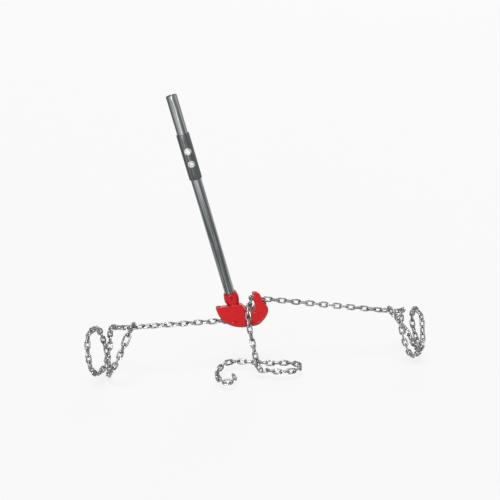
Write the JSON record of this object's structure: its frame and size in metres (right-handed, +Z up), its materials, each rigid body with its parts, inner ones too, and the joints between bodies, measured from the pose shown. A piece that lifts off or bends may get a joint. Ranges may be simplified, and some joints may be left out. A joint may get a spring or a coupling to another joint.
{
  "type": "pipe puller",
  "caption": "Lever pipe puller: cast rocker head on a bolted two-piece tube handle, an anchor chain and a pull chain with slack, each chain ending in a hooked choker round a pipe.",
  "frame": {"origin": "the point on the first pipe's crown under the rocker's sole, in the tool's middle plane", "axes": "+X along the pipes from the anchor side to the pull side, +Y to the back, +Z up"},
  "size_m": [1.1032, 0.2326, 0.8909],
  "materials": {
    "red_enamel": "gloss enamel over rough casting",
    "tube_steel": "galvanised, lengthwise sheen",
    "sleeve_steel": "dark satin",
    "zinc": "bright zinc plate",
    "dull_zinc": "dull zinc plate"
  },
  "bodies": {
    "anchor_side": {"anchor_link": "zinc", "anchor_run_chain_1": "zinc", "anchor_run_chain_2": "zinc", "anchor_choker_chain_1": "zinc", "anchor_choker_chain_2": "zinc", "anchor_choker_chain_3": "zinc", "anchor_choker_chain_4": "zinc", "anchor_choker_chain_5": "zinc", "anchor_end_link": "zinc", "anchor_hook": "zinc"},
    "lever": {"head_casting": "red_enamel", "anchor_pin": "zinc", "pin_washer": "zinc", "cotter_pin": "dull_zinc", "socket_set_screw": "zinc", "lower_tube": "tube_steel", "coupling_sleeve": "sleeve_steel", "upper_tube": "tube_steel", "lower_coupling_bolt": "zinc", "lower_coupling_nut": "zinc", "lower_bolt_front_washer": "zinc", "lower_bolt_back_washer": "zinc", "upper_coupling_bolt": "zinc", "upper_coupling_nut": "zinc", "upper_bolt_front_washer": "zinc", "upper_bolt_back_washer": "zinc", "caught_links": "zinc"},
    "pull_run": {"grab_slot_link": "zinc", "pull_run_chain_1": "zinc", "pull_run_chain_2": "zinc"},
    "pull_choker": {"pull_choker_chain_1": "zinc", "pull_choker_chain_2": "zinc", "pull_choker_chain_3": "zinc", "pull_choker_chain_4": "zinc", "pull_choker_chain_5": "zinc", "pull_end_link": "zinc", "pull_hook": "zinc"},
    "slack_drop": {"slack_drop_chain_1": "zinc", "slack_drop_chain_2": "zinc"},
    "slack_floor": {"slack_floor_chain_1": "zinc", "slack_floor_chain_2": "zinc", "slack_floor_chain_3": "zinc", "slack_floor_chain_4": "zinc"}
  },
  "joints": [
    {"name": "lever_rock", "type": "hinge", "parent": "anchor_side", "child": "lever", "pos_m": [-0.03, 0, 0.014], "axis": [0, 1, 0], "range_deg": [-20, 0]},
    {"name": "pull_run_swing", "type": "hinge", "parent": "lever", "child": "pull_run", "pos_m": [0.0315, 0, 0.0878], "axis": [0, 1, 0], "range_deg": [0, 22]},
    {"name": "pull_choker_swing", "type": "hinge", "parent": "pull_run", "child": "pull_choker", "pos_m": [0.4895, 0, 0.0075], "axis": [0, 1, 0], "range_deg": [-2, 0]},
    {"name": "slack_hang", "type": "hinge", "parent": "lever", "child": "slack_drop", "pos_m": [0.0174, -0.0229, 0.0658], "axis": [0, 1, 0], "range_deg": [0, 20]},
    {"name": "slack_sweep", "type": "hinge", "parent": "slack_drop", "child": "slack_floor", "pos_m": [0.0305, -0.0725, -0.1], "axis": [0, 0, 1], "range_deg": [-12, 12]}
  ],
  "couplings": [
    {"joint": "pull_run_swing", "follows": "lever_rock", "ratio": -1.0925},
    {"joint": "pull_choker_swing", "follows": "lever_rock", "ratio": 0.0925},
    {"joint": "slack_hang", "follows": "lever_rock", "ratio": -1}
  ]
}
